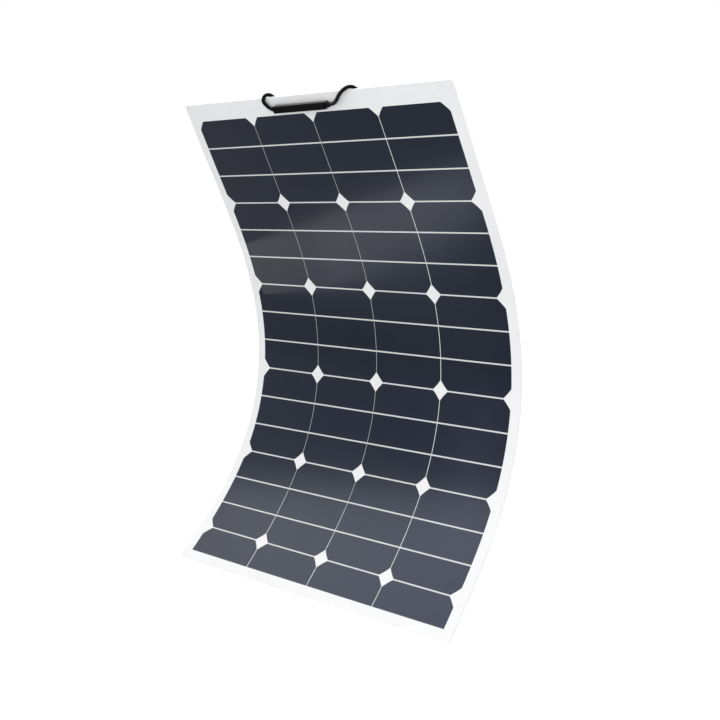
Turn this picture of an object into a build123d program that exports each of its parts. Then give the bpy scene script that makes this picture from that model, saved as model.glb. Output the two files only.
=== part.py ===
from build123d import *
import os
from math import ceil, cos, hypot, pi, radians, sin, tan

# A semi-flexible solar sheet: rows of back-contact cell strips laminated between a glass-fibre
# board and a clear film, with a slim junction box on the front and two leads with connectors.
# Millimetres, +Z up, the cells face -Y. The origin is the centre of the rear face of the
# eighth strip row, where the sheet is bonded down.
#
# The sheet is curled about the X axis, with its cells on the hollow side. It is built as one
# flat facet per strip row. Three rows make one section, and sections meet at bend lines.
# A place on the sheet is given by two numbers: "down", the distance down the sheet from the line
# one half row gap above the first strip, and "depth", the height above the rear face.

os.makedirs("parts", exist_ok=True)

# ---- driving dimensions: cells ----
columns = 4
strip_rows = 16
wafer_side = 125.0
wafer_diameter = 160.0
strips_per_wafer = 3
strip_height = wafer_side / strips_per_wafer
column_gap = 1.0
row_gap = 2.0
column_pitch = wafer_side + column_gap
row_pitch = strip_height + row_gap

# ---- driving dimensions: laminate, from the rear face forward ----
side_margin = 16.0
top_margin = 26.0
bottom_margin = 14.0
sheet_corner_radius = 4.0
board_thickness = 1.2
rear_encapsulant_thickness = 0.4
cell_thickness = 0.2
front_encapsulant_thickness = 0.6
film_thickness = 0.3
board_front = board_thickness
cell_level = board_front + rear_encapsulant_thickness
film_rear = cell_level + front_encapsulant_thickness
sheet_thickness = film_rear + film_thickness
sheet_width = columns * wafer_side + (columns - 1) * column_gap + 2 * side_margin
sheet_top = row_gap / 2 - top_margin
sheet_bottom = strip_rows * row_pitch - row_gap / 2 + bottom_margin

# ---- driving dimensions: how the sheet is curled ----
total_bend = 65.0
bend_begins = 114.0
bend_ends = 702.0
upright_row = 7
rows_in_section = 3
bend_line_gap = 0.5

# ---- driving dimensions: ribbons ----
ribbon_thickness = 0.15
link_reach = 8.0
link_pad = 4.0
link_width = 60.0
bus_width = 4.0
bus_tab_width = 6.0
lead_width = 8.0
lead_thickness = 0.4

# ---- driving dimensions: junction box ----
box_length = 108.0
box_width = 10.0
box_across = -10.5
box_up = 9.2
pad_thickness = 0.4
base_height = 6.4
lid_height = 1.6
box_wall = 1.0
box_end_wall = 3.0
box_floor = 0.8
box_corner_radius = 1.5
lid_bevel = 0.7
lid_lip = 0.8
cable_height = 3.4
bore_radius = 1.9
terminal_spacing = 36.0
terminal_length = 14.0
terminal_width = 4.6
terminal_thickness = 0.8
diode_length = 9.0
diode_width = 4.4
diode_height = 2.4

# ---- driving dimensions: leads, in the plane of the sheet's top section ----
# across is to the right of the middle, up is towards the top edge, out is in front of the film
cable_diameter = 5.0
relief_length = 6.5
relief_socket = 3.0
relief_root_radius = 2.95
relief_tip_radius = 2.8
coil_inner_radius = 27.0
coil_pitch = 5.1
coil_turns = 4
coil_up = -52.0
coil_near_layer = -6.5
tie_thickness = 1.0
tie_width = 5.0
tie_clearance = 0.2
tail_run = 13.0
connector_shift = 4.0
connector_up = -84.5
right_lead_points = [
    (47.0, 9.2, 3.4), (54.5, 9.2, 3.4), (63.0, 13.5, 3.9), (71.0, 19.5, 4.4), (78.0, 25.3, 4.3),
    (84.5, 28.6, 2.2), (90.0, 29.8, -2.2), (94.5, 27.6, -6.6), (97.5, 21.0, -8.8), (99.5, 10.0, -8.6),
    (100.6, -6.0, -7.6), (101.0, -24.0, -6.8), (101.1, -40.0, -6.5), (101.1, -52.0, -6.5),
]
left_lead_points = [
    (-68.0, 9.2, 3.4), (-75.5, 9.2, 3.4), (-82.5, 13.6, 3.9), (-86.0, 19.3, 4.4), (-86.3, 25.4, 4.3),
    (-83.2, 29.2, 2.0), (-78.5, 30.0, -2.4), (-74.0, 27.5, -6.6), (-71.3, 21.0, -8.8), (-70.0, 10.0, -8.6),
    (-69.3, -6.0, -7.6), (-68.9, -24.0, -6.8), (-68.8, -40.0, -6.5), (-68.8, -52.0, -6.5),
]


def ease(share):
    """A smooth step from 0 to 1."""
    share = min(max(share, 0.0), 1.0)
    return share * share * (3 - 2 * share)


def lean(row):
    """The angle of a strip row's facet from upright, in degrees, positive where it faces upward."""
    middle = (row + 0.5) * row_pitch
    upright = (upright_row + 0.5) * row_pitch
    span = bend_ends - bend_begins
    return total_bend * (ease((middle - bend_begins) / span) - ease((upright - bend_begins) / span))


def facet_down(row):
    """Unit vector (y, z) down the sheet on one facet."""
    return (-sin(radians(lean(row))), -cos(radians(lean(row))))


def facet_front(row):
    """Unit vector (y, z) out of the front of one facet."""
    return (-cos(radians(lean(row))), sin(radians(lean(row))))


def fold_line_points():
    """Where the facets meet in the cell plane, as (y, z), from the top of row 0 to the end of the last."""
    points = [(0.0, 0.0)]
    for row in range(strip_rows):
        y, z = points[-1]
        dy, dz = facet_down(row)
        points.append((y + dy * row_pitch, z + dz * row_pitch))
    y, z = points[upright_row]
    dy, dz = facet_down(upright_row)
    middle_y = y + dy * row_pitch / 2
    middle_z = z + dz * row_pitch / 2
    return [(y - middle_y - cell_level, z - middle_z) for y, z in points]


fold_points = fold_line_points()


def on_facet(row, down, depth):
    """The (y, z) of a place on one facet."""
    y, z = fold_points[row]
    dy, dz = facet_down(row)
    ny, nz = facet_front(row)
    along = down - row * row_pitch
    out = depth - cell_level
    return (y + dy * along + ny * out, z + dz * along + nz * out)


def on_fold(row, depth):
    """The (y, z) on the fold above a row, where the layers of its two facets meet in a mitre."""
    y, z = fold_points[row]
    ny = facet_front(row - 1)[0] + facet_front(row)[0]
    nz = facet_front(row - 1)[1] + facet_front(row)[1]
    size = hypot(ny, nz)
    out = (depth - cell_level) / (size / 2)
    return (y + ny / size * out, z + nz / size * out)


def layer_outline(start, end, low, high):
    """Corners (y, z) of one layer seen from the side, between two distances down and two depths."""
    first = min(max(int(start // row_pitch), 0), strip_rows - 1)
    last = min(max(int((end - 0.001) // row_pitch), 0), strip_rows - 1)
    folds = range(first + 1, last + 1)
    rear = [on_facet(first, start, low)] + [on_fold(row, low) for row in folds] + [on_facet(last, end, low)]
    front = [on_facet(first, start, high)] + [on_fold(row, high) for row in folds] + [on_facet(last, end, high)]
    return rear + front[::-1]


def facet_plane(row, down, depth):
    """Work plane on a facet: X across the sheet, Y up the sheet, Z out of its front."""
    y, z = on_facet(row, down, depth)
    ny, nz = facet_front(row)
    return Plane(origin=(0, y, z), x_dir=(1, 0, 0), z_dir=(0, ny, nz))


def layer(start, end, low, high, width, centres=(0.0,)):
    """A strip of one layer of the given width, once at each distance across the sheet."""
    with BuildPart() as strip:
        for centre in centres:
            with BuildSketch(Plane.YZ.offset(centre - width / 2)):
                with BuildLine():
                    Polyline(*layer_outline(start, end, low, high), close=True)
                make_face()
            extrude(amount=width)
    return strip.part


def column_centres():
    return [(column - (columns - 1) / 2) * column_pitch for column in range(columns)]


def finish(shape, name):
    """Labels a finished piece and writes it as its own file."""
    shape.label = name
    export_step(shape, "parts/" + name + ".step")


# ---- sections: where each one starts and ends ----
section_first_rows = list(range(0, strip_rows, rows_in_section))
section_count = len(section_first_rows)


def section_rows(section):
    first = section_first_rows[section]
    return range(first, min(first + rows_in_section, strip_rows))


def section_start(section):
    return sheet_top if section == 0 else section_first_rows[section] * row_pitch + bend_line_gap


def section_end(section):
    if section == section_count - 1:
        return sheet_bottom
    return section_first_rows[section + 1] * row_pitch - bend_line_gap


def section_layer(section, low, high):
    """A full-width layer of one section, with the sheet's outer corners rounded."""
    with BuildPart() as slab:
        add(layer(section_start(section), section_end(section), low, high, sheet_width))
        if section in (0, section_count - 1):
            at_top = section == 0
            edge_z = on_facet(0, sheet_top, low)[1] if at_top else on_facet(strip_rows - 1, sheet_bottom, low)[1]
            corners = slab.edges().filter_by(
                lambda edge: edge.length < sheet_thickness and abs(edge.center().Z - edge_z) < sheet_thickness
            )
            fillet(corners, radius=sheet_corner_radius)
    return slab.part


def section_cells(section):
    """The cell strips of one section. The outer thirds of a round-cornered wafer keep its cut corners."""
    with BuildPart() as cells:
        for row in section_rows(section):
            thirds_from_middle = row % strips_per_wafer - 1
            with BuildSketch(facet_plane(row, (row + 0.5) * row_pitch, cell_level)) as strips:
                for centre in column_centres():
                    with BuildSketch(mode=Mode.PRIVATE) as strip:
                        with Locations((centre, thirds_from_middle * strip_height)):
                            Circle(wafer_diameter / 2)
                        with Locations((centre, 0)):
                            Rectangle(wafer_side, strip_height, mode=Mode.INTERSECT)
                    add(strip.sketch)
            extrude(amount=cell_thickness)
    return cells.part


def section_links(section):
    """The tabs behind the cells that join each strip to the next, and half tabs at the bend lines."""
    rows = section_rows(section)
    flat_top = board_front + ribbon_thickness
    with BuildPart() as links:
        for row in rows:
            gap = (row + 1) * row_pitch
            if row == strip_rows - 1:
                continue
            end = gap + link_reach if row != rows[-1] else gap - bend_line_gap
            add(layer(gap - link_reach, end, board_front, flat_top, link_width, column_centres()))
            add(layer(gap - link_reach, gap - link_pad, flat_top, cell_level, link_width, column_centres()))
            if row != rows[-1]:
                add(layer(gap + link_pad, gap + link_reach, flat_top, cell_level, link_width, column_centres()))
        if section > 0:
            gap = rows[0] * row_pitch
            start = gap + bend_line_gap
            add(layer(start, gap + link_reach, board_front, flat_top, link_width, column_centres()))
            add(layer(gap + link_pad, gap + link_reach, flat_top, cell_level, link_width, column_centres()))
    return links.part


# ---- ribbons along the top and bottom edges ----
terminal_places = [box_across - terminal_spacing, box_across, box_across + terminal_spacing]
first_column = column_centres()[0]
last_column = column_centres()[-1]
inner_columns = (-column_pitch / 2, column_pitch / 2)
ribbon_front = board_front + ribbon_thickness
outer_bus_down = -box_up - bus_width
middle_bus_down = -box_up + 1.6
last_strip_end = strip_rows * row_pitch - row_gap / 2
bottom_bus_down = last_strip_end + 4.0
tab_overlap = 0.2


def ribbon(left, right, start, end):
    """A flat ribbon on the board between two distances across and two distances down."""
    return layer(start, end, board_front, ribbon_front, right - left, ((left + right) / 2,))


def cell_tabs(centres, start, end, pad_start):
    """Ribbons from a bus to a strip, each with a pad that rises to the back of the cell."""
    with BuildPart() as tabs:
        add(layer(start, end, board_front, ribbon_front, bus_tab_width, centres))
        add(layer(pad_start, pad_start + link_pad, ribbon_front, cell_level, bus_tab_width, centres))
    return tabs.part


def box_lead(centre, down):
    """The upright end of a ribbon, which passes through the laminate into the junction box."""
    top = sheet_thickness + pad_thickness + box_floor + terminal_thickness + 0.6
    return layer(down, down + lead_thickness, board_front, top, lead_width, (centre,))


with BuildPart() as top_bus_ribbons:
    add(ribbon(first_column - bus_tab_width / 2, terminal_places[0] + lead_width / 2, outer_bus_down, -box_up))
    add(ribbon(terminal_places[2] - lead_width / 2, last_column + bus_tab_width / 2, outer_bus_down, -box_up))
    add(cell_tabs((first_column, last_column), -box_up - tab_overlap, link_reach, link_reach - link_pad))
    add(box_lead(terminal_places[0], -box_up - lead_thickness))
    add(box_lead(terminal_places[2], -box_up - lead_thickness))
    add(ribbon(inner_columns[0] - bus_tab_width / 2, inner_columns[1] + bus_tab_width / 2,
               middle_bus_down, middle_bus_down + bus_width))
    add(cell_tabs(inner_columns, middle_bus_down, link_reach, link_reach - link_pad))
    add(box_lead(terminal_places[1], middle_bus_down))

with BuildPart() as bottom_bus_ribbons:
    for side in (-1, 1):
        middle = side * column_pitch
        reach = column_pitch / 2 + bus_tab_width / 2
        tab_start = last_strip_end - link_reach
        tab_centres = (middle - column_pitch / 2, middle + column_pitch / 2)
        add(ribbon(middle - reach, middle + reach, bottom_bus_down, bottom_bus_down + bus_width))
        add(cell_tabs(tab_centres, tab_start, bottom_bus_down + tab_overlap, tab_start))

finish(top_bus_ribbons.part, "top_bus_ribbons")
finish(bottom_bus_ribbons.part, "bottom_bus_ribbons")

# ---- the laminate, one stack of layers for each section ----
for section in range(section_count):
    prefix = "section_" + str(section + 1) + "_"
    cells = section_cells(section)
    links = section_links(section)
    with BuildPart() as back_board:
        add(section_layer(section, 0.0, board_front))
    with BuildPart() as rear_encapsulant:
        add(section_layer(section, board_front, cell_level))
        add(links, mode=Mode.SUBTRACT)
        if section == 0:
            add(top_bus_ribbons.part, mode=Mode.SUBTRACT)
        if section == section_count - 1:
            add(bottom_bus_ribbons.part, mode=Mode.SUBTRACT)
    with BuildPart() as front_encapsulant:
        add(section_layer(section, cell_level, film_rear))
        add(cells, mode=Mode.SUBTRACT)
        if section == 0:
            add(top_bus_ribbons.part, mode=Mode.SUBTRACT)
    with BuildPart() as front_film:
        add(section_layer(section, film_rear, sheet_thickness))
        if section == 0:
            add(top_bus_ribbons.part, mode=Mode.SUBTRACT)
    finish(back_board.part, prefix + "back_board")
    finish(rear_encapsulant.part, prefix + "rear_encapsulant")
    finish(links, prefix + "cell_links")
    finish(cells, prefix + "cells")
    finish(front_encapsulant.part, prefix + "front_encapsulant")
    finish(front_film.part, prefix + "front_film")

# ---- junction box on the front of the top margin ----
head = facet_plane(0, 0.0, sheet_thickness)
box_base_top = pad_thickness + base_height
box_inside = (box_length - 2 * box_end_wall, box_width - 2 * box_wall)
lead_slots = [(place, -lead_down - lead_thickness / 2) for place, lead_down in zip(
    terminal_places, (-box_up - lead_thickness, middle_bus_down, -box_up - lead_thickness))]


def along_cable(across, side):
    """Work plane whose Z runs out of one end of the junction box along the cable."""
    return Plane(origin=head.from_local_coords((across, box_up, cable_height)),
                 x_dir=head.y_dir, z_dir=head.x_dir * side)


with BuildPart() as box_adhesive_pad:
    with BuildSketch(head):
        with Locations((box_across, box_up)):
            RectangleRounded(box_length - 1.0, box_width - 1.0, 1.0)
        with Locations(*lead_slots):
            Rectangle(lead_width, lead_thickness, mode=Mode.SUBTRACT)
    extrude(amount=pad_thickness)

with BuildPart() as junction_box_base:
    with BuildSketch(head.offset(pad_thickness)):
        with Locations((box_across, box_up)):
            RectangleRounded(box_length, box_width, box_corner_radius)
    extrude(amount=base_height)
    with BuildSketch(head.offset(pad_thickness + box_floor)):
        with Locations((box_across, box_up)):
            Rectangle(*box_inside)
    extrude(amount=base_height, mode=Mode.SUBTRACT)
    with BuildSketch(head.offset(pad_thickness)):
        with Locations(*lead_slots):
            Rectangle(lead_width, lead_thickness)
    extrude(amount=box_floor, mode=Mode.SUBTRACT)
    for side in (-1, 1):
        with BuildSketch(along_cable(box_across + side * (box_length / 2 - box_end_wall), side)):
            Circle(bore_radius)
        extrude(amount=box_end_wall, mode=Mode.SUBTRACT)

with BuildPart() as junction_box_lid:
    with BuildSketch(head.offset(box_base_top)):
        with Locations((box_across, box_up)):
            RectangleRounded(box_length, box_width, box_corner_radius)
    extrude(amount=lid_height)
    outer_face = junction_box_lid.faces().sort_by(Axis(head.origin, head.z_dir))[-1]
    chamfer(outer_face.edges(), length=lid_bevel)
    with BuildSketch(head.offset(box_base_top - lid_lip)):
        with Locations((box_across, box_up)):
            Rectangle(box_inside[0] - 0.2, box_inside[1] - 0.2)
            Rectangle(box_inside[0] - 1.6, box_inside[1] - 1.6, mode=Mode.SUBTRACT)
    extrude(amount=lid_lip)

terminal_level = pad_thickness + box_floor
diode_level = terminal_level + terminal_thickness


def terminal(place, slot):
    """A contact plate on the box floor, slotted for its ribbon."""
    with BuildPart() as plate:
        with BuildSketch(head.offset(terminal_level)):
            with Locations((place, box_up)):
                Rectangle(terminal_length, terminal_width)
            with Locations(slot):
                Rectangle(lead_width, lead_thickness, mode=Mode.SUBTRACT)
        extrude(amount=terminal_thickness)
    return plate.part


def end_terminal(place, slot, side):
    """A contact plate with the crimp sleeve of a lead, which reaches out through the end wall."""
    web_length = terminal_length / 2 - lead_width / 2 - 0.4
    sleeve_start = place + side * (terminal_length / 2 - web_length)
    box_end = box_across + side * box_length / 2
    with BuildPart() as plate:
        add(terminal(place, slot))
        with BuildSketch(along_cable(sleeve_start, side)):
            Circle(bore_radius - 0.6)
        extrude(amount=abs(box_end - sleeve_start) - box_end_wall + 0.4)
        with BuildSketch(head.offset(terminal_level + terminal_thickness)):
            with Locations((sleeve_start + side * web_length / 2, box_up)):
                Rectangle(web_length, 1.6)
        extrude(amount=cable_height - diode_level)
    return plate.part


with BuildPart() as terminals:
    add(end_terminal(terminal_places[0], lead_slots[0], -1))
    add(terminal(terminal_places[1], lead_slots[1]))
    add(end_terminal(terminal_places[2], lead_slots[2], 1))

with BuildPart() as bypass_diodes:
    diode_places = [((left + right) / 2, box_up) for left, right in zip(terminal_places, terminal_places[1:])]
    with BuildSketch(head.offset(diode_level)):
        with Locations(*diode_places):
            Rectangle(diode_length, diode_width)
    extrude(amount=diode_height)
    with BuildSketch(head.offset(diode_level)):
        with Locations(*[(across, box_up - 1.2) for across, _ in diode_places]):
            Rectangle(terminal_spacing - terminal_length + 4.0, 1.2)
    extrude(amount=0.4)

finish(box_adhesive_pad.part, "junction_box_adhesive_pad")
finish(junction_box_base.part, "junction_box_base")
finish(junction_box_lid.part, "junction_box_lid")
finish(terminals.part, "terminals")
finish(bypass_diodes.part, "bypass_diodes")

# ---- leads: strain relief, tube, coil, tie and connector for each side ----
down_sheet = head.y_dir * -1


def turned(plane, profile):
    """A piece turned about a plane's Z from (distance along, radius) corners."""
    section_plane = Plane(origin=plane.origin, x_dir=plane.z_dir, z_dir=plane.x_dir)
    with BuildPart() as piece:
        with BuildSketch(section_plane):
            with BuildLine():
                Polyline(*profile, close=True)
            make_face()
        revolve(axis=Axis(plane.origin, plane.z_dir))
    return piece.part


def bend_radii(points):
    """The largest radius that each corner of a route allows: 0.45 of its shorter run."""
    radii = []
    for before, corner, after in zip(points, points[1:], points[2:]):
        first = corner - before
        second = after - corner
        half_turn = radians(first.get_angle(second)) / 2
        radii.append(0.45 * min(first.length, second.length) / tan(half_turn))
    return radii


def tube(local_points, name):
    """The straight-and-arc tube of a lead along its route, with its bend radii and volume printed."""
    points = [head.from_local_coords(point) for point in local_points]
    radii = bend_radii(points)
    with BuildPart() as piece:
        with BuildLine() as path:
            FilletPolyline(*points, radius=radii)
        with BuildSketch(Plane(origin=points[0], z_dir=points[1] - points[0])):
            Circle(cable_diameter / 2)
        sweep()
    length = sum(edge.length for edge in path.line.edges())
    share = piece.part.volume / (pi * cable_diameter**2 / 4 * length)
    print(name, "bend radii", [round(radius, 1) for radius in radii])
    print(name, "length", round(length, 1), "volume over section times length", round(share, 4))
    return piece.part, length


def strain_relief(side):
    """A tapered sleeve with a neck in the box's end wall and a socket for the lead."""
    start = box_across + side * box_length / 2
    neck = box_end_wall - 0.4
    return turned(along_cable(start, side), [
        (-neck, bore_radius - 0.5), (-neck, bore_radius - 0.05), (0, bore_radius - 0.05), (0, relief_root_radius),
        (relief_length, relief_tip_radius), (relief_length, cable_diameter / 2 + 0.05),
        (relief_length - relief_socket, cable_diameter / 2 + 0.05), (relief_length - relief_socket, bore_radius - 0.5),
    ])


def coil(centre):
    """The put-away length of a lead: a ring of the coil's outer shape."""
    outer = coil_inner_radius + coil_pitch + cable_diameter / 2
    far_face = coil_near_layer - coil_pitch - cable_diameter / 2
    with BuildPart() as ring:
        with BuildSketch(head.offset(far_face)):
            with Locations((centre, coil_up)):
                Circle(outer)
                Circle(coil_inner_radius - cable_diameter / 2, mode=Mode.SUBTRACT)
        extrude(amount=coil_pitch + cable_diameter)
        fillet(ring.edges(), radius=2.0)
    return ring.part


def tie(centre):
    """A hook-and-loop band closed around the coil's turns on the side away from the lead."""
    middle = coil_inner_radius + coil_pitch / 2
    inner = coil_pitch + cable_diameter + 2 * tie_clearance
    outer = inner + 2 * tie_thickness
    origin = head.from_local_coords((centre - middle, coil_up, coil_near_layer - coil_pitch / 2))
    with BuildPart() as band:
        with BuildSketch(Plane(origin=origin, x_dir=head.x_dir, z_dir=down_sheet)):
            RectangleRounded(outer, outer, 2.4)
            RectangleRounded(inner, inner, 1.4, mode=Mode.SUBTRACT)
        extrude(amount=tie_width / 2, both=True)
    return band.part


nut_length = 12.0
nut_radius = 7.3
nose_length = 4.0
shell_start = 4.6
seal_end = 9.6
flange_start = 12.4
flange_end = 30.0
shell_end = 46.0
flange_radius = 6.6
tail_radius = 5.4
socket_floor = flange_end + 3.0
contact_radius = 2.0
contact_length = 11.0
pin_root_radius = 1.8
pin_start = socket_floor + 0.6


def connector_nut(plane):
    """A six-sided clamping nut with a round nose, bored for the lead."""
    with BuildPart() as nut:
        with BuildSketch(plane.offset(nose_length)):
            RegularPolygon(nut_radius, 6)
        extrude(amount=nut_length - nose_length)
        add(turned(plane, [(0, 0), (0, 4.6), (1.2, 5.4), (nose_length, 6.2), (nose_length, 0)]))
        with BuildSketch(plane):
            Circle(cable_diameter / 2 + 0.05)
        extrude(amount=nut_length, mode=Mode.SUBTRACT)
        with BuildSketch(plane.offset(shell_start - 0.4)):
            Circle(tail_radius + 0.05)
        extrude(amount=nut_length - shell_start + 0.4, mode=Mode.SUBTRACT)
    return nut.part


def plug_shell(plane):
    """The shell of the lead's plug: tail, grip, and a barrel around its pin, with two latch arms."""
    with BuildPart() as shell:
        add(turned(plane, [
            (shell_start, 3.6), (shell_start, tail_radius), (flange_start, tail_radius),
            (flange_start, flange_radius), (flange_end, flange_radius), (flange_end, 5.4), (shell_end, 5.4),
            (shell_end, 4.6), (socket_floor, 4.6), (socket_floor, pin_root_radius + 0.05),
            (seal_end, pin_root_radius + 0.05), (seal_end, 3.6),
        ]))
        for side in (-1, 1):
            with BuildSketch(plane.offset(flange_end - 1.0)):
                with Locations((side * 6.4, 0)):
                    Rectangle(1.4, 3.4)
            extrude(amount=12.0)
    return shell.part


def socket_shell(plane):
    """The shell of the lead's socket: tail, grip, and a collar around its contact sleeve."""
    return turned(plane, [
        (shell_start, 3.6), (shell_start, tail_radius), (flange_start, tail_radius),
        (flange_start, flange_radius), (flange_end, flange_radius), (flange_end, 7.2), (shell_end, 7.2),
        (shell_end, 5.8), (socket_floor, 5.8), (socket_floor, 3.25),
        (seal_end, 3.25), (seal_end, 3.6),
    ])


def gland_seal(plane):
    """The rubber bush that the nut squeezes on the lead."""
    return turned(plane, [
        (shell_start, cable_diameter / 2 + 0.05), (shell_start, 3.55),
        (seal_end - 0.2, 3.55), (seal_end - 0.2, cable_diameter / 2 + 0.05),
    ])


def contact_pin(plane):
    """The plug's round pin with its crimp end."""
    return turned(plane, [
        (seal_end, 0), (seal_end, pin_root_radius), (pin_start, pin_root_radius), (pin_start, contact_radius),
        (pin_start + contact_length - 0.8, contact_radius),
        (pin_start + contact_length, contact_radius - 0.8), (pin_start + contact_length, 0),
    ])


def contact_sleeve(plane):
    """The socket's contact sleeve, bored to take a pin."""
    mouth = shell_end - 1.0
    return turned(plane, [
        (seal_end, 0), (seal_end, 3.2), (mouth, 3.2), (mouth, contact_radius + 0.05),
        (mouth - contact_length, contact_radius + 0.05), (mouth - contact_length, 0),
    ])


for name, side, lead_points in (("left", -1, left_lead_points), ("right", 1, right_lead_points)):
    entry_across = lead_points[-1][0]
    coil_centre = entry_across - coil_inner_radius - coil_pitch
    far_layer = coil_near_layer - coil_pitch
    axis_across = entry_across + connector_shift
    tail_points = [
        (entry_across, coil_up, far_layer), (entry_across, coil_up - tail_run, far_layer),
        (axis_across, coil_up - 2 * tail_run, far_layer), (axis_across, coil_up - 3 * tail_run, far_layer),
    ]
    head_tube, head_length = tube(lead_points, name + " lead, box to coil")
    tail_tube, tail_length = tube(tail_points, name + " lead, coil to connector")
    with BuildPart() as lead:
        add(head_tube)
        add(tail_tube)
    turns = 2 * pi * (2 * coil_inner_radius + coil_pitch) / 2 * coil_turns
    print(name, "lead length", round(head_length + tail_length + turns, 1))
    connector = Plane(origin=head.from_local_coords((axis_across, connector_up, far_layer)),
                      x_dir=head.x_dir, z_dir=down_sheet)
    finish(strain_relief(side), name + "_strain_relief")
    finish(lead.part, name + "_lead")
    finish(coil(coil_centre), name + "_lead_coil")
    finish(tie(coil_centre), name + "_lead_tie")
    finish(connector_nut(connector), name + "_connector_nut")
    finish(gland_seal(connector), name + "_connector_seal")
    if side < 0:
        finish(plug_shell(connector), "left_plug_shell")
        finish(contact_pin(connector), "left_plug_pin")
    else:
        finish(socket_shell(connector), "right_socket_shell")
        finish(contact_sleeve(connector), "right_socket_contact")
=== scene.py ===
from functools import lru_cache
from math import ceil, cos, pi, radians, sin, sqrt

import bmesh
import bpy
import numpy as np
from mathutils import Matrix, Vector


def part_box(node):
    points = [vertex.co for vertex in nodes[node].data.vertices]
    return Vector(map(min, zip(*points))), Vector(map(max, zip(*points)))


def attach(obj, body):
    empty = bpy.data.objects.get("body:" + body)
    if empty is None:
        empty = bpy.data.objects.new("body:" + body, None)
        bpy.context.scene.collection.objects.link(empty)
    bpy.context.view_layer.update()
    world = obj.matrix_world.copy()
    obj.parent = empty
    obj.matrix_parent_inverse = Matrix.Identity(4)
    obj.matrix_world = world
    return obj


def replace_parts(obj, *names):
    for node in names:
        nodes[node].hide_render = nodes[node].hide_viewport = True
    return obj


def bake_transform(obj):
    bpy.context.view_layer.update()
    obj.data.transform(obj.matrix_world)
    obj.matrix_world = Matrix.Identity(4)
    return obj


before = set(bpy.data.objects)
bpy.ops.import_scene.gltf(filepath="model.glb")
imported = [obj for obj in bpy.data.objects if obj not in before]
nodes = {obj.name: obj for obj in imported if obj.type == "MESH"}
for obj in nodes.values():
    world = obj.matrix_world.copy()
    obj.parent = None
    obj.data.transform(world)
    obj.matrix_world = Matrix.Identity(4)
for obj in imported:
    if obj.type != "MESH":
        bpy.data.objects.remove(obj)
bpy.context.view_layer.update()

# ---- the sheet: sizes in millimetres ----
# "across" is to the right of the middle, "down" is the distance down the sheet from half a row gap
# above the first strip, and "lift" is the height above the plane that the cells lie in.
MM = 0.001
# Three strips are cut from one wafer, and each section of the sheet has the three rows of one row of wafers.
ROWS, COLUMNS, WAFER_ROWS = 16, 4, 3
ROW_GAP, COLUMN_GAP = 2, 1
WAFER = 125.0
STRIP = WAFER / WAFER_ROWS
ROW_PITCH = STRIP + ROW_GAP
COLUMN_PITCH = WAFER + COLUMN_GAP
WAFER_RADIUS = 80.0
BOTTOM_MARGIN = 14
SHEET_WIDTH = 535.0
SHEET_TOP = -25.0
SHEET_BOTTOM = ROWS * ROW_PITCH - ROW_GAP / 2 + BOTTOM_MARGIN
SHEET_HEIGHT = SHEET_BOTTOM - SHEET_TOP
SHEET_CORNER = 4.0
BACK = -1.6
BOARD_FRONT = -0.4
FACE = 0.87
CELL_FACE = 0.9
FILM = 0.3
EDGE = 0.25

# ---- the curl: 65 degrees in all, and a slight twist towards the bottom ----
TOTAL_BEND = 65.0
BEND_BEGINS, BEND_ENDS = 114.0, 702.0
UPRIGHT = 7.5 * ROW_PITCH
MIDDLE = 350.0
TWIST = (0.41, 2.18, 1.59)
TWIST_REACH = 252
DOWN_STEP = 0.5


def ease(share):
    share = np.clip(share, 0.0, 1.0)
    return share * share * (3 - 2 * share)


def lean(down, across):
    """Degrees from upright, positive where the sheet faces upward."""
    span = BEND_ENDS - BEND_BEGINS
    curl = TOTAL_BEND * (ease((down - BEND_BEGINS) / span) - ease((UPRIGHT - BEND_BEGINS) / span))
    part = (down - MIDDLE) / MIDDLE
    return curl - across / TWIST_REACH * (TWIST[0] + TWIST[1] * part + TWIST[2] * part * part)


DOWNS = np.arange(SHEET_TOP - 1, SHEET_BOTTOM + 1.5, DOWN_STEP)


@lru_cache(maxsize=None)
def profile(across):
    """Y and Z in millimetres of the cell plane down the sheet, from its middle, and its lean in radians."""
    angle = np.radians(lean(DOWNS, across))
    sides = []
    for slope in (-np.sin(angle), -np.cos(angle)):
        run = np.concatenate([[0], np.cumsum((slope[1:] + slope[:-1]) / 2 * np.diff(DOWNS))])
        sides.append(run - np.interp(MIDDLE, DOWNS, run))
    return sides[0], sides[1], angle


def from_middle(across, down, lift):
    y, z, angle = profile(round(across, 3))
    tilt = np.interp(down, DOWNS, angle)
    return Vector((across, np.interp(down, DOWNS, y) - lift * cos(tilt),
                   np.interp(down, DOWNS, z) + lift * sin(tilt)))


# The top section of the sheet lies where the CAD's does, because the box and the leads are on it.
film_low, film_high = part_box("section_1_front_film")
top_tilt = radians(float(lean(SHEET_TOP, 0)))
anchor = Vector((0, film_low.y, film_high.z + FILM * MM * sin(top_tilt)))
shift = anchor - from_middle(0.0, SHEET_TOP, CELL_FACE) * MM


def surface(across, down, lift=0.0):
    return from_middle(across, down, lift) * MM + shift


# The plane of the flat top section: up is towards the top edge, out is in front of the film.
head_out = Vector((0, -cos(top_tilt), sin(top_tilt)))
head_down = Vector((0, -sin(top_tilt), -cos(top_tilt)))
head_origin = surface(0.0, 0.0, CELL_FACE)


def head(across, up, out):
    return head_origin + (Vector((across, 0, 0)) - head_down * up + head_out * out) * MM


# ---- node materials ----
def add(tree, kind, values=None, **settings):
    """A node of that kind, with values for its inputs: sockets of other nodes, or plain values."""
    node = tree.nodes.new("ShaderNode" + kind)
    for name, value in settings.items():
        setattr(node, name, value)
    for name, value in (values or {}).items():
        if isinstance(value, bpy.types.NodeSocket):
            tree.links.new(value, node.inputs[name])
        else:
            node.inputs[name].default_value = value
    return node


def maths(tree, operation, first, second=0.0):
    return add(tree, "Math", {0: first, 1: second}, operation=operation).outputs[0]


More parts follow.
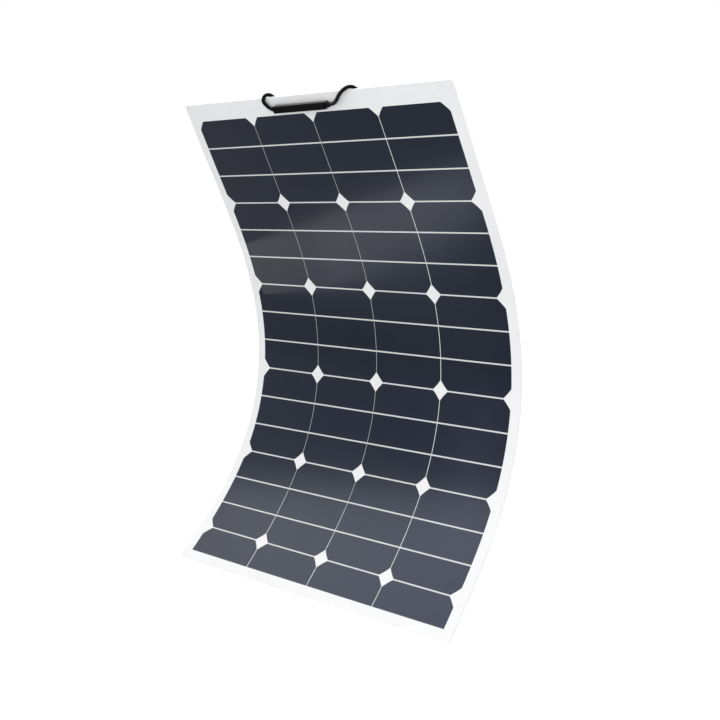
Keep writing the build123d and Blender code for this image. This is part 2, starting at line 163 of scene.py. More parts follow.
def material(name, colour, roughness, specular=0.5, metallic=0.0, **more):
    made = bpy.data.materials.new(name)
    made.use_nodes = True
    shader = made.node_tree.nodes["Principled BSDF"]
    shader.inputs["Base Color"].default_value = (*colour, 1)
    shader.inputs["Roughness"].default_value = roughness
    shader.inputs["Specular IOR Level"].default_value = specular
    shader.inputs["Metallic"].default_value = metallic
    for socket, value in more.items():
        shader.inputs[socket.replace("_", " ")].default_value = value
    return made, made.node_tree, shader


def flat_place(tree, scale=(1.0, 1.0)):
    """Millimetres on the flat sheet (across from its left edge, down from its top edge), times a scale."""
    grid = add(tree, "UVMap", uv_map="flat")
    return add(tree, "Mapping", {"Vector": grid.outputs["UV"],
                                 "Scale": (SHEET_HEIGHT * scale[0], SHEET_HEIGHT * scale[1], 1)})


def solid_place(tree, scale=(1.0, 1.0, 1.0)):
    """Millimetres in the piece's own space, times a scale."""
    place = add(tree, "TexCoord")
    return add(tree, "Mapping", {"Vector": place.outputs["Object"], "Scale": [x / MM for x in scale]})


def noise(tree, place, scale, detail=3.0, rough=0.5):
    return add(tree, "TexNoise", {"Vector": place.outputs[0], "Scale": scale, "Detail": detail,
                                  "Roughness": rough}).outputs["Fac"]


def spread(tree, value, low, high, start=0.3, end=0.7):
    """A value from start to end, made to run from low to high."""
    return add(tree, "MapRange", {"Value": value, "From Min": start, "From Max": end,
                                  "To Min": low, "To Max": high}).outputs["Result"]


def tone(tree, share, dark, light):
    mix = add(tree, "Mix", {"Factor": share}, data_type="RGBA")
    mix.inputs["A"].default_value = (*dark, 1)
    mix.inputs["B"].default_value = (*light, 1)
    return mix.outputs["Result"]


def bump(tree, shader, height, distance, strength=1.0, normal=None):
    values = {"Height": height, "Distance": distance * MM, "Strength": strength}
    if normal is not None:
        values["Normal"] = normal
    made = add(tree, "Bump", values)
    tree.links.new(made.outputs["Normal"], shader.inputs["Normal"])
    return made.outputs["Normal"]


def grained(name, dark, light, roughness, grain, depth, specular=0.5, **more):
    """A moulded or woven surface: fine grain in relief and in gloss, and slow changes of tone."""
    made, tree, shader = material(name, light, sum(roughness) / 2, specular, **more)
    place = solid_place(tree)
    fine = noise(tree, place, 1 / grain, 4.0, 0.6)
    slow = noise(tree, place, 0.12, 3.0)
    tree.links.new(tone(tree, spread(tree, slow, 0, 1), dark, light), shader.inputs["Base Color"])
    tree.links.new(spread(tree, fine, roughness[0], roughness[1]), shader.inputs["Roughness"])
    bump(tree, shader, fine, depth)
    return made


def film_relief(tree, shader, place):
    """The clear film's fine dimples over a slow ripple."""
    dimples = add(tree, "TexVoronoi", {"Vector": place.outputs[0], "Scale": 0.9},
                  feature="SMOOTH_F1").outputs["Distance"]
    ripple = noise(tree, place, 0.09, 2.0)
    first = bump(tree, shader, ripple, 0.08, 0.6)
    bump(tree, shader, dimples, 0.012, 1.0, first)


def cell_material():
    """Dark blue-black silicon behind the clear textured film, each strip a shade of its own."""
    made, tree, shader = material("cell_face", CELL_LIGHT, CELL_ROUGHNESS, CELL_SPECULAR, CELL_METAL)
    strips = flat_place(tree, (1 / COLUMN_PITCH, 1 / ROW_PITCH))
    left = (SHEET_WIDTH / 2 - COLUMNS / 2 * COLUMN_PITCH) / COLUMN_PITCH
    strips.inputs["Location"].default_value = (-left, SHEET_TOP / ROW_PITCH, 0)
    index = add(tree, "VectorMath", {0: strips.outputs[0]}, operation="FLOOR")
    shade = add(tree, "TexWhiteNoise", {"Vector": index.outputs[0]}, noise_dimensions="2D").outputs["Value"]
    slow = noise(tree, flat_place(tree), 0.03, 3.0)
    share = maths(tree, "ADD", shade, spread(tree, slow, 0, 0.6))
    tree.links.new(tone(tree, share, CELL_DARK, CELL_LIGHT), shader.inputs["Base Color"])
    film_relief(tree, shader, flat_place(tree))
    return made


def painted_gap_shade(tree):
    """How much painted shade darkens the white in the narrow gaps between the strips, where the strips' edges
    would shade it: 0 in the open parts.

    The gaps between the columns get more painted shade on the left and in the upper part."""
    place = add(tree, "SeparateXYZ", {"Vector": flat_place(tree).outputs[0]})
    across = maths(tree, "SUBTRACT", place.outputs["X"], SHEET_WIDTH / 2)
    down = maths(tree, "ADD", place.outputs["Y"], SHEET_TOP)
    from_column = maths(tree, "PINGPONG", across, COLUMN_PITCH / 2)
    from_row = maths(tree, "PINGPONG", down, ROW_PITCH / 2)
    from_wafer = maths(tree, "PINGPONG", down, WAFER_ROWS * ROW_PITCH / 2)
    in_row_gap = maths(tree, "LESS_THAN", from_row, ROW_GAP / 2 + GAP_EXTRA)
    in_column_gap = maths(tree, "LESS_THAN", from_column, COLUMN_GAP / 2 + GAP_EXTRA)
    column_painted_shade = maths(tree, "MULTIPLY", spread(tree, across, COLUMN_GAP_PAINTED_SHADE, 0, *PAINTED_SHADE_ACROSS),
                         spread(tree, down, 1, 0, *PAINTED_SHADE_DOWN))
    # Painted shade: the amount of darkening in the row gaps and in the column gaps.
    gap_painted_shade = maths(tree, "MAXIMUM", maths(tree, "MULTIPLY", in_row_gap, ROW_GAP_PAINTED_SHADE),
                   maths(tree, "MULTIPLY", in_column_gap, column_painted_shade))
    outside_diamond = maths(tree, "GREATER_THAN", maths(tree, "ADD", from_column, from_wafer), DIAMOND_REACH)
    within_width = maths(tree, "LESS_THAN", maths(tree, "ABSOLUTE", across),
                         COLUMNS / 2 * COLUMN_PITCH - (COLUMN_GAP / 2 + GAP_EXTRA))
    from_centre = maths(tree, "ABSOLUTE", maths(tree, "SUBTRACT", down, ROWS / 2 * ROW_PITCH))
    within_height = maths(tree, "LESS_THAN", from_centre, ROWS / 2 * ROW_PITCH - (ROW_GAP / 2 + GAP_EXTRA))
    within = maths(tree, "MULTIPLY", within_width, within_height)
    return maths(tree, "MULTIPLY", gap_painted_shade, maths(tree, "MULTIPLY", within, outside_diamond))


def face_material():
    """The white encapsulant that shows between and around the cells, under the clear textured film. Painted shade
    darkens it in the narrow gaps between the strips.
    """
    made, tree, shader = material("laminate_face", (0.8, 0.8, 0.81), 0.34, 0.12)
    place = flat_place(tree)
    slow = noise(tree, place, 0.02, 3.0)
    fine = noise(tree, place, 0.8, 3.0)
    share = maths(tree, "ADD", spread(tree, slow, 0, 0.7), spread(tree, fine, 0, 0.3))
    # Painted shade: the white is mixed towards a near-black grey in the narrow gaps between the strips.
    painted_shade_mix = add(tree, "Mix", {"Factor": painted_gap_shade(tree)}, data_type="RGBA")
    tree.links.new(tone(tree, share, FACE_DARK, FACE_LIGHT), painted_shade_mix.inputs["A"])
    painted_shade_mix.inputs["B"].default_value = (*PAINTED_GAP_SHADE_COLOUR, 1)
    tree.links.new(painted_shade_mix.outputs["Result"], shader.inputs["Base Color"])
    tree.links.new(spread(tree, fine, 0.3, 0.4), shader.inputs["Roughness"])
    film_relief(tree, shader, place)
    return made


def board_material():
    """The glass-fibre board: white resin with the cloth's weave faintly in relief and in tone."""
    made, tree, shader = material("back_board", (0.78, 0.785, 0.78), 0.42, 0.45)
    place = flat_place(tree)
    weave = []
    for direction in ("X", "Y"):
        weave.append(add(tree, "TexWave", {"Vector": place.outputs[0], "Scale": 0.16, "Distortion": 0.4,
                                           "Detail": 2.0, "Detail Scale": 0.6},
                         bands_direction=direction, wave_profile="SIN").outputs["Fac"])
    cloth = maths(tree, "MULTIPLY", *weave)
    slow = noise(tree, place, 0.016, 4.0)
    share = maths(tree, "ADD", spread(tree, slow, 0, 0.75), spread(tree, cloth, 0, 0.25, 0, 1))
    tree.links.new(tone(tree, share, (0.755, 0.76, 0.755), (0.80, 0.80, 0.795)), shader.inputs["Base Color"])
    tree.links.new(spread(tree, slow, 0.4, 0.46), shader.inputs["Roughness"])
    bump(tree, shader, cloth, 0.03)
    return made


def metal_material(name, colour, roughness):
    """Tinned copper with fine drawing marks and a slightly uneven tin coat."""
    made, tree, shader = material(name, colour, roughness, metallic=1.0)
    place = solid_place(tree, (0.3, 1.0, 1.0))
    fine = noise(tree, place, 6.0, 4.0)
    slow = noise(tree, place, 0.4, 2.0)
    dark = [x * 0.86 for x in colour]
    tree.links.new(tone(tree, spread(tree, slow, 0, 1), dark, colour), shader.inputs["Base Color"])
    tree.links.new(spread(tree, fine, roughness - 0.06, roughness + 0.08), shader.inputs["Roughness"])
    bump(tree, shader, fine, 0.01)
    return made


CELL_ROUGHNESS, CELL_SPECULAR, CELL_METAL = 0.23, 0.15, 0.7
CELL_DARK, CELL_LIGHT = (0.0145, 0.0185, 0.0325), (0.0165, 0.0210, 0.0365)
# Painted shade in the narrow gaps between the strips: its strength in the row and column gaps, its reach, where
# the column gaps' shade fades out across and down, and its near-black colour.
ROW_GAP_PAINTED_SHADE, COLUMN_GAP_PAINTED_SHADE = 0.2, 0.52
GAP_EXTRA, DIAMOND_REACH = 0.1, 13.7
PAINTED_SHADE_ACROSS, PAINTED_SHADE_DOWN = (20, 110), (540, 640)
PAINTED_GAP_SHADE_COLOUR = (0.02, 0.02, 0.022)
FACE_DARK, FACE_LIGHT = (0.765, 0.77, 0.785), (0.805, 0.81, 0.82)

cell_face = cell_material()
laminate_face = face_material()
back_board = board_material()
housing_plastic = grained("housing_plastic", (0.0018, 0.0018, 0.0020), (0.0030, 0.0030, 0.0033),
                          (0.2, 0.3), 0.5, 0.008, specular=1.0)
cover_plastic = grained("cover_plastic", (0.0016, 0.0016, 0.0018), (0.0028, 0.0028, 0.0031),
                        (0.26, 0.36), 0.5, 0.008, specular=0.03)
connector_plastic = grained("connector_plastic", (0.007, 0.007, 0.0075), (0.012, 0.012, 0.0125),
                            (0.34, 0.5), 0.4, 0.012, specular=0.2)
nut_plastic = grained("nut_plastic", (0.006, 0.006, 0.0065), (0.010, 0.010, 0.0105),
                      (0.42, 0.58), 0.3, 0.015, specular=0.2)
rubber = grained("rubber", (0.0025, 0.0025, 0.0028), (0.0045, 0.0045, 0.005),
                 (0.5, 0.7), 0.35, 0.015, specular=0.08)
seal_rubber = grained("seal_rubber", (0.05, 0.05, 0.052), (0.08, 0.08, 0.083),
                      (0.6, 0.8), 0.3, 0.01, specular=0.35)
jacket = grained("cable_jacket", (0.0020, 0.0020, 0.0024), (0.0038, 0.0038, 0.0044),
                 (0.32, 0.44), 0.7, 0.010, specular=0.08)
diode_plastic = grained("diode_plastic", (0.012, 0.012, 0.013), (0.022, 0.022, 0.023),
                        (0.5, 0.65), 0.2, 0.01)
pad_foam = grained("pad_foam", (0.5, 0.5, 0.5), (0.62, 0.62, 0.61),
                   (0.7, 0.9), 0.25, 0.03, specular=0.3)
strap_fabric = grained("strap_fabric", (0.018, 0.018, 0.019), (0.045, 0.045, 0.046), (0.8, 0.98), 0.28, 0.12,
                       specular=0.2, Sheen_Weight=0.3, Sheen_Roughness=0.6)
tinned_contact = metal_material("tinned_contact", (0.76, 0.75, 0.72), 0.24)


# ---- mesh helpers ----
class Shape:
    """Vertices and faces of one piece, with each vertex's place on the flat sheet where it has one."""

    def __init__(self):
        self.points, self.flats, self.faces = [], [], []

    def put(self, point, flat=(0.0, 0.0)):
        self.points.append(point)
        self.flats.append(flat)
        return len(self.points) - 1

    def ring(self, points):
        return [self.put(point) for point in points]

    def bridge(self, first, second, closed=True):
        count = len(first)
        for k in range(count if closed else count - 1):
            after = (k + 1) % count
            self.faces.append((first[k], first[after], second[after], second[k]))

    def loft(self, rings, caps=True):
        """A solid skin through closed rings, with both ends closed."""
        loops = [self.ring(ring) for ring in rings]
        for first, second in zip(loops, loops[1:]):
            self.bridge(first, second)
        if caps:
            self.faces += [tuple(loops[0]), tuple(loops[-1])]
        else:
            self.bridge(loops[-1], loops[0])

    def piece(self, name, surface_material, slot, sharp=32, flat=False):
        mesh = bpy.data.meshes.new(name)
        mesh.from_pydata(self.points, [], self.faces)
        mesh.validate()
        editor = bmesh.new()
        editor.from_mesh(mesh)
        bmesh.ops.recalc_face_normals(editor, faces=editor.faces)
        editor.to_mesh(mesh)
        editor.free()
        if flat:
            layer = mesh.uv_layers.new(name="flat")
            for loop in mesh.loops:
                layer.data[loop.index].uv = self.flats[loop.vertex_index]
        mesh.shade_smooth()
        mesh.set_sharp_from_angle(angle=radians(sharp))
        mesh.materials.append(surface_material)
        made = bpy.data.objects.new(name, mesh)
        bpy.context.scene.collection.objects.link(made)
        return made


def steps(start, end, size):
    count = max(1, ceil((end - start) / size - 1e-6))
    return [start + (end - start) * k / count for k in range(count + 1)]


def plate(shape, downs, half_width, low, high, centre=0.0, columns=24, front_edge=0.0, back_edge=0.0):
    """A closed plate that follows the sheet's surface, with narrow chamfers on the sheet's own edges."""
    def level(lift, edge):
        grid = []
        for down in downs:
            half = half_width(down) - edge
            inner = min(max(down, SHEET_TOP + edge), SHEET_BOTTOM - edge)
            row = []
            for k in range(columns + 1):
                across = centre + half * (2 * k / columns - 1)
                flat = ((across + SHEET_WIDTH / 2) / SHEET_HEIGHT, (inner - SHEET_TOP) / SHEET_HEIGHT)
                row.append(shape.put(surface(across, inner, lift), flat))
            grid.append(row)
        return grid

    def skin(grid):
        for upper, lower in zip(grid, grid[1:]):
            shape.bridge(upper, lower, closed=False)

    def rim(grid):
        right = [row[-1] for row in grid[1:-1]]
        left = [row[0] for row in grid[1:-1]]
        return grid[0] + right + grid[-1][::-1] + left[::-1]

    def rim_only(lift):
        """The full outline at one level, with no skin."""
        loop = []
        places = ([(0, k) for k in range(columns + 1)] + [(i, columns) for i in range(1, len(downs) - 1)]
                  + [(len(downs) - 1, k) for k in range(columns, -1, -1)]
                  + [(i, 0) for i in range(len(downs) - 2, 0, -1)])
        for i, k in places:
            across = centre + half_width(downs[i]) * (2 * k / columns - 1)
            flat = ((across + SHEET_WIDTH / 2) / SHEET_HEIGHT, (downs[i] - SHEET_TOP) / SHEET_HEIGHT)
            loop.append(shape.put(surface(across, downs[i], lift), flat))
        return loop

    front, back = level(high, front_edge), level(low, back_edge)
    skin(front)
    skin(back)
    loops = [rim(front)]
    if front_edge:
        loops.append(rim_only(high - front_edge))
    if back_edge:
        loops.append(rim_only(low + back_edge))
    loops.append(rim(back))
    for first, second in zip(loops, loops[1:]):
        shape.bridge(first, second)


def sheet_half(down):
    """Half the sheet's width, less in its rounded corners."""
    inside = min(down - SHEET_TOP, SHEET_BOTTOM - down)
    if inside >= SHEET_CORNER:
        return SHEET_WIDTH / 2
    short = SHEET_CORNER - max(inside, 0)
    return SHEET_WIDTH / 2 - SHEET_CORNER + sqrt(max(SHEET_CORNER**2 - short**2, 0))


def cell_half(down):
    """Half a strip's width: its wafer's corners are cut by the ingot's circle."""
    row = int(down / ROW_PITCH)
    third = row % WAFER_ROWS
    height = WAFER / 2 - third * STRIP - (down - row * ROW_PITCH - ROW_GAP / 2)
    return min(WAFER / 2, sqrt(WAFER_RADIUS**2 - min(abs(height), WAFER / 2)**2))


def corner_steps():
    return [SHEET_CORNER * (1 - cos(radians(turn))) for turn in (0, 15, 30, 45, 60, 75, 90)]


# ---- the laminate: six sections joined by five bends, with each piece centred on one bend ----
DOWN_SPACING = 2.5


def sheet_downs(start, end):
    downs = []
    if start <= SHEET_TOP:
        downs += [SHEET_TOP + step for step in corner_steps()][:-1]
        start = SHEET_TOP + SHEET_CORNER
    finish = min(end, SHEET_BOTTOM - SHEET_CORNER)
    downs += steps(start, finish, DOWN_SPACING)
    if end >= SHEET_BOTTOM:
        downs += [SHEET_BOTTOM - step for step in reversed(corner_steps())][1:]
    return downs


def strip_downs(row):
    top = row * ROW_PITCH + ROW_GAP / 2
    bottom = top + STRIP
    downs = steps(top + 1e-4, bottom - 1e-4, DOWN_SPACING)
    cut = WAFER / 2 - sqrt(WAFER_RADIUS**2 - (WAFER / 2)**2)
    if row % WAFER_ROWS == 0:
        downs.append(top + cut)
    if row % WAFER_ROWS == WAFER_ROWS - 1:
        downs.append(bottom - cut)
    return sorted(downs)


def bend_piece(made, number, *replaced):
    """A piece of the sheet around the bend between two sections, over one strip row each side of the line between
    them: its transform is baked into the mesh and the CAD parts it replaces are hidden.
    """
    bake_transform(made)
    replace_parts(made, *replaced)


BENDS = 5
SPLITS = [SHEET_TOP, *((WAFER_ROWS * (k + 1) + 1.5) * ROW_PITCH for k in range(BENDS - 1)), SHEET_BOTTOM]
LAYERS = ("back_board", "rear_encapsulant", "cell_links", "cells", "front_encapsulant", "front_film")
STRIP_DEPTH = 0.2
STRIP_ROWS = [range(0, 5), range(5, 8), range(8, 11), range(11, 14), range(14, 16)]
for number in range(1, BENDS + 1):
    downs = sheet_downs(SPLITS[number - 1], SPLITS[number])
    sections = (1, 2) if number == 1 else (number + 1,)
    names = {layer: [f"section_{k}_{layer}" for k in sections] for layer in LAYERS}
    board = Shape()
    plate(board, downs, sheet_half, BACK, BOARD_FRONT, back_edge=EDGE)
    bend_piece(board.piece(f"board_{number}", back_board, "white_board", flat=True), number,
               *names["back_board"])
    front = Shape()
    plate(front, downs, sheet_half, BOARD_FRONT, FACE, front_edge=EDGE)
    ribbons = {1: ["top_bus_ribbons"], BENDS: ["bottom_bus_ribbons"]}.get(number, [])
    bend_piece(front.piece(f"face_{number}", laminate_face, "clear_film", flat=True), number,
               *names["rear_encapsulant"], *names["cell_links"], *names["front_encapsulant"],
               *names["front_film"], *ribbons)
    cells = Shape()
    for row in STRIP_ROWS[number - 1]:
        for column in range(COLUMNS):
            plate(cells, strip_downs(row), cell_half, FACE - STRIP_DEPTH, CELL_FACE,
                  centre=(column - (COLUMNS - 1) / 2) * COLUMN_PITCH, columns=6)
    bend_piece(cells.piece(f"cell_strips_{number}", cell_face, "silicon_cells", flat=True), number,
               *names["cells"])


# ---- the junction box ----
BOX_ACROSS, BOX_UP = -10.5, 9.2
BOX_LENGTH, BOX_WIDTH = 108.0, 10.0
BOX_CORNER, LEAST_CORNER, CORNER_STEPS = 1.5, 0.25, 5
CABLE_OUT = 3.4


def box_ring(out, inset):
    """A rounded rectangle around the box at one height, smaller by the inset."""
    half_length, half_width = BOX_LENGTH / 2 - inset, BOX_WIDTH / 2 - inset
    radius = max(BOX_CORNER - inset, LEAST_CORNER)
    ring = []
    for start, along, over in ((0, 1, 1), (90, -1, 1), (180, -1, -1), (270, 1, -1)):
        for k in range(CORNER_STEPS + 1):
            angle = radians(start + 90 * k / CORNER_STEPS)
            ring.append(head(BOX_ACROSS + along * (half_length - radius) + radius * cos(angle),
                             BOX_UP + over * (half_width - radius) + radius * sin(angle), out))
    return ring


# The outlines from the bottom up, as (height above the film, inset).
base = Shape()
base.loft([box_ring(out, inset) for out, inset in (
    (0.35, 0.12), (0.5, 0.0), (1.15, 0.0), (1.3, 0.08), (1.38, 0.2), (3.5, 0.24),
    (6.35, 0.28), (6.6, 0.36), (6.72, 0.5))])
base_piece = base.piece("box_housing", housing_plastic, "black_housing")
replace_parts(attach(base_piece, "section_1"), "junction_box_base")
cover = Shape()
cover.loft([box_ring(out, inset) for out, inset in (
    (6.66, 0.5), (6.66, 0.1), (6.75, 0.0), (7.4, 0.0), (7.65, 0.08), (8.0, 0.3), (8.26, 0.58),
    (8.38, 0.85), (8.4, 1.1), (8.4, 1.65), (8.34, 1.78), (8.27, 1.88), (8.25, 2.05))])
cover_piece = cover.piece("box_cover", cover_plastic, "black_housing")
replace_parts(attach(cover_piece, "section_1"), "junction_box_lid")


# ---- strain reliefs ----
RELIEF_LENGTH = 6.5
RELIEF_SIDES = 32


def sleeve_about(origin, axis, corners):
    """An open sleeve: rings about an axis from (distance along, radius) corners in millimetres."""
    axis = axis.normalized()
    first = axis.orthogonal().normalized()
    second = axis.cross(first)
    rings = []
    for along, radius in corners:
        rings.append([origin + (axis * along + (first * cos(turn) + second * sin(turn)) * radius) * MM
                      for turn in (2 * pi * k / RELIEF_SIDES for k in range(RELIEF_SIDES))])
    shape = Shape()
    shape.loft(rings, caps=False)
    return shape


def relief_corners():
    """A tapered sleeve with two soft ribs and a rounded mouth, open for the lead."""
    corners = [(-0.6, 2.52), (-0.6, 3.0), (0.9, 3.0), (1.15, 2.94)]
    for start in (1.5, 3.2):
        big, small = 2.99 - 0.03 * start, 2.72 - 0.012 * start
        corners += [(start, small + 0.02), (start + 0.35, small), (start + 0.6, small + 0.04),
                    (start + 0.8, big - 0.04), (start + 1.0, big), (start + 1.3, big), (start + 1.55, big - 0.05)]
    corners += [(5.1, 2.7), (5.9, 2.68), (6.3, 2.62), (RELIEF_LENGTH, 2.52)]
    return corners


# ---- leads ----
# Each route is a list of (across, up, out) places in the plane of the top section, from the box on.
CABLE = 5.0
COIL_INNER, COIL_PITCH, COIL_TURNS = 27.0, 5.1, 4
COIL_UP, COIL_NEAR = -52.0, -6.5
COIL_FAR = COIL_NEAR - COIL_PITCH
TAIL_RUN, CONNECTOR_SHIFT = 13.0, 4.0
POINTS_PER_TURN = 14
right_route = [
    (47.0, 9.2, 3.4), (55.0, 9.4, 3.4), (62.8, 13.2, 3.9), (70.2, 19.2, 4.4), (77.4, 24.2, 4.6),
    (84.6, 28.0, 2.6), (89.8, 28.6, -3.1), (93.6, 24.2, -7.5), (96.4, 17.0, -8.9), (98.8, 8.0, -8.5),
    (100.6, -6.0, -7.6), (101.0, -24.0, -6.8), (101.1, -40.0, -6.5), (101.1, -52.0, -6.5),
]
left_route = [
    (-68.0, 9.2, 3.4), (-73.4, 10.0, 3.5), (-78.4, 15.0, 4.1), (-81.4, 20.4, 4.7), (-81.2, 25.2, 4.0),
    (-78.6, 28.6, 0.6), (-75.8, 27.9, -4.2), (-73.4, 23.4, -7.6), (-71.4, 16.6, -9.0), (-70.2, 7.0, -8.5),
    (-69.3, -6.0, -7.6), (-68.9, -24.0, -6.8), (-68.8, -40.0, -6.5), (-68.8, -52.0, -6.5),
]


def coil_points(centre):
    """Four turns, two side by side in each of two layers, after the first point at their right side."""
    lanes = [(COIL_INNER + COIL_PITCH, COIL_NEAR), (COIL_INNER, COIL_NEAR),
             (COIL_INNER, COIL_FAR), (COIL_INNER + COIL_PITCH, COIL_FAR)]
    points = []
    for turn in range(COIL_TURNS):
        before, after = lanes[max(turn - 1, 0)], lanes[turn]
        for k in range(POINTS_PER_TURN):
            share = float(ease(k / POINTS_PER_TURN * 4))
            radius = before[0] + (after[0] - before[0]) * share
            out = before[1] + (after[1] - before[1]) * share
            angle = 2 * pi * k / POINTS_PER_TURN
            points.append((centre + radius * cos(angle), COIL_UP - radius * sin(angle), out))
    return points[1:] + [(centre + COIL_INNER + COIL_PITCH, COIL_UP, COIL_FAR)]


def lead(name, route, tail):
    points = [head(*point) for point in route + coil_points(route[-1][0] - COIL_INNER - COIL_PITCH) + tail]
    curve = bpy.data.curves.new(name, "CURVE")
    curve.dimensions = "3D"
    spline = curve.splines.new("NURBS")
    spline.points.add(len(points) - 1)
    for place, point in zip(spline.points, points):
        place.co = (*point, 1)
    spline.order_u = 3
    spline.use_endpoint_u = True
    spline.resolution_u = 10
    curve.bevel_depth = CABLE / 2 * MM
    curve.bevel_resolution = 5
    curve.use_fill_caps = True
    curve.materials.append(jacket)
    made = bpy.data.objects.new(name, curve)
    bpy.context.scene.collection.objects.link(made)
    return made


def strap_path():
    """The band's middle line round the coil: once round, then over its own start."""
    half, corner = 5.8, 1.9
    flat_half = half - corner
    path = [(-0.5, -half), (2.0, -half)]
    for start, along, over in ((270, 1, -1), (0, 1, 1), (90, -1, 1), (180, -1, -1)):
        for k in range(7):
            angle = radians(start + 90 * k / 6)
            path.append((along * flat_half + corner * cos(angle), over * flat_half + corner * sin(angle)))
    path = path[:-1] + [(-flat_half + 0.2, -half - 0.05), (-2.9, -half - 0.3), (-2.0, -half - 0.75),
                        (-1.1, -half - 1.0), (0.5, -half - 1.03), (2.2, -half - 1.03), (3.6, -half - 1.03)]
    return path


def strap(name, centre):
    """A hook-and-loop band around the coil's turns, away from the lead."""
    middle = head(centre - COIL_INNER - COIL_PITCH / 2, COIL_UP, (COIL_NEAR + COIL_FAR) / 2)
    path = [Vector((a, b)) for a, b in strap_path()]
    thick, wide, nib = 0.48, 2.5, 0.16
    outline = [(-thick + nib, -wide), (thick - nib, -wide), (thick, -wide + nib), (thick, wide - nib),
               (thick - nib, wide), (-thick + nib, wide), (-thick, wide - nib), (-thick, -wide + nib)]
    rings = []
    for k, point in enumerate(path):
        tangent = (path[min(k + 1, len(path) - 1)] - path[max(k - 1, 0)]).normalized()
        outward = Vector((tangent.y, -tangent.x))
        ring = []
        for over, along in outline:
            place = point + outward * over
            ring.append(middle + (Vector((place.x, 0, 0)) + head_out * place.y + head_down * along) * MM)
        rings.append(ring)
    band = Shape()
    band.loft(rings)
    return band.piece(name, strap_fabric, "strap")


for side, name, route in ((-1, "left", left_route), (1, "right", right_route)):
    entry = route[-1][0]
    axis_across = entry + CONNECTOR_SHIFT
    tail = [(entry, COIL_UP - TAIL_RUN, COIL_FAR), (axis_across, COIL_UP - 2 * TAIL_RUN, COIL_FAR),
            (axis_across, COIL_UP - 3 * TAIL_RUN, COIL_FAR)]
    cable = lead(name + "_cable", route, tail)
    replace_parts(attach(cable, "section_1"), name + "_lead", name + "_lead_coil")
    wall = BOX_ACROSS + side * BOX_LENGTH / 2
    sleeve = sleeve_about(head(wall, BOX_UP, CABLE_OUT), Vector((side, 0, 0)), relief_corners())
    sleeve_piece = sleeve.piece(name + "_relief", rubber, "black_rubber", sharp=50)
    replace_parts(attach(sleeve_piece, "section_1"), name + "_strain_relief")
    band_piece = strap(name + "_strap", entry - COIL_INNER - COIL_PITCH)
    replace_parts(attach(band_piece, "section_1"), name + "_lead_tie")

# ---- carried-over parts ----
for node, finish in {
    "junction_box_adhesive_pad": pad_foam, "terminals": tinned_contact, "bypass_diodes": diode_plastic,
    "left_connector_nut": nut_plastic, "right_connector_nut": nut_plastic,
    "left_connector_seal": seal_rubber, "right_connector_seal": seal_rubber,
    "left_plug_shell": connector_plastic, "right_socket_shell": connector_plastic,
    "left_plug_pin": tinned_contact, "right_socket_contact": tinned_contact,
}.items():
    mesh = nodes[node].data
    mesh.materials.clear()
    mesh.materials.append(finish)

# ---- floor, light and camera ----
scene = bpy.context.scene
scene.view_settings.view_transform = "Standard"
scene.view_settings.look = "None"
world = bpy.data.worlds.new("studio")
scene.world = world
world.use_nodes = True
world.node_tree.nodes["Background"].inputs["Color"].default_value = (1, 1, 1, 1)
world.node_tree.nodes["Background"].inputs["Strength"].default_value = 1.0

FLOOR_HEIGHT, FLOOR_REACH, FLOOR_GLOW = -0.42, 15.0, 0.55
floor_mesh = bpy.data.meshes.new("floor")
floor_mesh.from_pydata([(x * FLOOR_REACH, y * FLOOR_REACH, FLOOR_HEIGHT)
                        for x, y in ((-1, -1), (1, -1), (1, 1), (-1, 1))], [], [(0, 1, 2, 3)])
floor_paint, floor_tree, floor_shader = material("floor", (0.7, 0.7, 0.7), 0.9, 0.1)
floor_shader.inputs["Emission Color"].default_value = (1, 1, 1, 1)
seen = add(floor_tree, "LightPath").outputs["Is Camera Ray"]
floor_tree.links.new(maths(floor_tree, "MULTIPLY", seen, FLOOR_GLOW), floor_shader.inputs["Emission Strength"])
floor_mesh.materials.append(floor_paint)
floor = bpy.data.objects.new("floor", floor_mesh)
scene.collection.objects.link(floor)


WARM, NEUTRAL = (1.0, 0.92, 0.73), (1.0, 1.0, 1.0)


def area_light(name, place, target, width, height, radiance, across=None, colour=WARM):
    """A soft rectangular light. Its power gives that radiance over its whole face."""
    lamp = bpy.data.lights.new(name, "AREA")
    lamp.shape = "RECTANGLE"
    lamp.size, lamp.size_y = width, height
    lamp.energy = radiance * pi * width * height
    lamp.color = colour
    made = bpy.data.objects.new(name, lamp)
    scene.collection.objects.link(made)
    ahead = (target - place).normalized()
    side = across - ahead * across.dot(ahead) if across else ahead.cross(Vector((0, 0, 1)))
    side = side.normalized()
    over = side.cross(ahead)
    made.matrix_world = Matrix((side, over, -ahead)).transposed().to_4x4()
    made.location = place
    made.visible_camera = False
    return made


def toward(azimuth, elevation):
    """The direction at that many degrees left of straight in front, and above level."""
    turn, rise = radians(azimuth), radians(elevation)
    return Vector((-sin(turn) * cos(rise), -cos(turn) * cos(rise), sin(rise)))


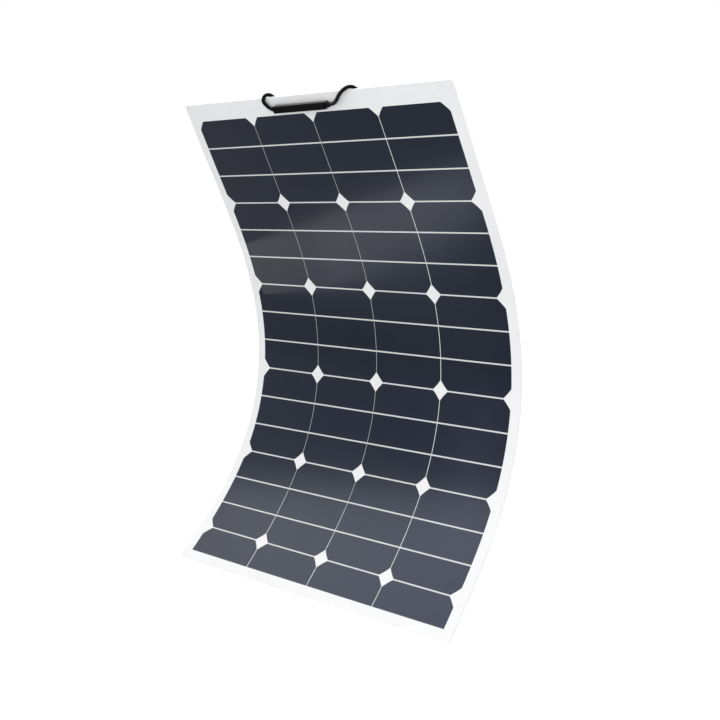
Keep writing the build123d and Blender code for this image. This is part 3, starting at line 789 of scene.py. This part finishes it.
# A narrow card near the upper half, in three parts, mirrored in the film as a slanted band.
CARD_LENGTH, CARD_WIDTH, CARD_TILT = 0.133, 0.078, -15.5
card_from = surface(0.0, 200.0, CELL_FACE)
card_side = Vector((0.586, -0.810, 0.0))
card_up = Vector((-0.335, -0.242, 0.911))
card_ahead = Vector((-0.738, -0.534, -0.413))
card_middle = card_from + card_ahead * 0.200 + card_side * 0.010 + card_up * 0.002
tilt = radians(CARD_TILT)
card_across = card_side * cos(tilt) + card_up * sin(tilt)
for number, (share, radiance) in enumerate(((-1, 1.15), (0, 1.75), (1, 2.25)), 1):
    place = card_middle + card_across * CARD_LENGTH * share
    card = area_light(f"card_{number}", place, place - card_ahead, CARD_LENGTH, CARD_WIDTH, radiance, card_across)
    card.visible_diffuse = False

# A soft light behind on the left lights the back.
back_from = head(0.0, 0.0, 0.0)
area_light("back_light", back_from + Vector((-0.736, 0.394, 0.55)) * 1.6, back_from,
           width=1.0, height=1.0, radiance=2.5, colour=NEUTRAL)

# A large soft box at the left, above the object, mirrored in the lowest rows.
SOFT_BOX_AZIMUTH, SOFT_BOX_ELEVATION, SOFT_BOX_DISTANCE = 52, 49.5, 1.7
soft_box_target = surface(0.0, 650.0, CELL_FACE)
soft_box_turn = radians(SOFT_BOX_AZIMUTH)
soft_box = area_light("soft_box",
                      soft_box_target + toward(SOFT_BOX_AZIMUTH, SOFT_BOX_ELEVATION) * SOFT_BOX_DISTANCE,
                      soft_box_target, width=1.4, height=1.0, radiance=4.0,
                      across=Vector((cos(soft_box_turn), -sin(soft_box_turn), 0.09)))
soft_box.visible_diffuse = False

# A soft light overhead, for the parts that face up.
top_light = area_light("top_light", Vector((0.5, -0.6, 1.9)), Vector((0.0, 0.0, 0.0)),
                       width=1.6, height=1.6, radiance=0.8, colour=NEUTRAL)
top_light.visible_glossy = False

# A soft fill from the right.
fill = area_light("fill", Vector((0.8, -1.05, -0.08)), Vector((0.05, -0.05, 0.1)),
                  width=1.1, height=0.55, radiance=1.7, colour=NEUTRAL)
fill.visible_glossy = False

camera_data = bpy.data.cameras.new("camera")
camera_data.sensor_width = 36.0
camera_data.lens = 69.2
camera_data.clip_start, camera_data.clip_end = 0.05, 60.0
camera = bpy.data.objects.new("camera", camera_data)
scene.collection.objects.link(camera)
camera_right = Vector((0.67276, 0.73528, -0.08223))
camera_up = Vector((-0.07892, 0.18182, 0.98016))
camera_ahead = Vector((-0.73564, 0.65292, -0.18035))
camera.matrix_world = Matrix((camera_right, camera_up, -camera_ahead)).transposed().to_4x4()
camera.location = surface(0.0, MIDDLE) + Vector((1.4136, -1.2856, 0.3394))
camera_data.shift_x, camera_data.shift_y = -0.0014, 0.0007
scene.camera = camera
